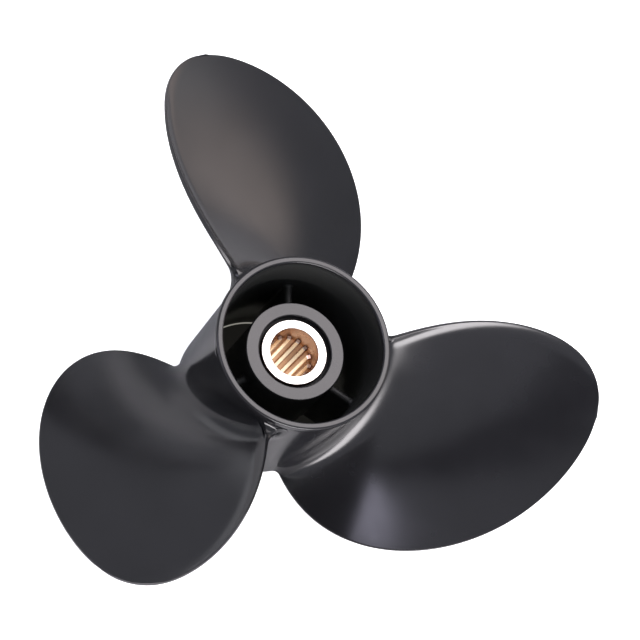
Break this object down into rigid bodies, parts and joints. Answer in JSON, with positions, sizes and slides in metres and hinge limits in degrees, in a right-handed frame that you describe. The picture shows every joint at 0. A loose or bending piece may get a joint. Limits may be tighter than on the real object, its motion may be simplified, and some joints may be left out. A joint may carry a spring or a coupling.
{
  "type": "boat propeller",
  "caption": "Right-hand boat propeller with raked blades on an exhaust barrel, ribs to an inner hub, and a splined bronze sleeve in a rubber bush.",
  "frame": {"origin": "on the shaft axis, in the plane of the barrel's forward end, on which the propeller stands", "axes": "+Z along the shaft axis, aft end up; +Y points along the zero line of the first blade's root"},
  "size_m": [0.307, 0.3158, 0.1162],
  "materials": {
    "black_paint": "satin black paint on cast aluminium",
    "black_rubber": "matt black rubber",
    "bronze": "machined bronze"
  },
  "bodies": {
    "root": {"propeller_casting": "black_paint", "rubber_bush": "black_rubber", "splined_sleeve": "bronze"}
  },
  "joints": []
}
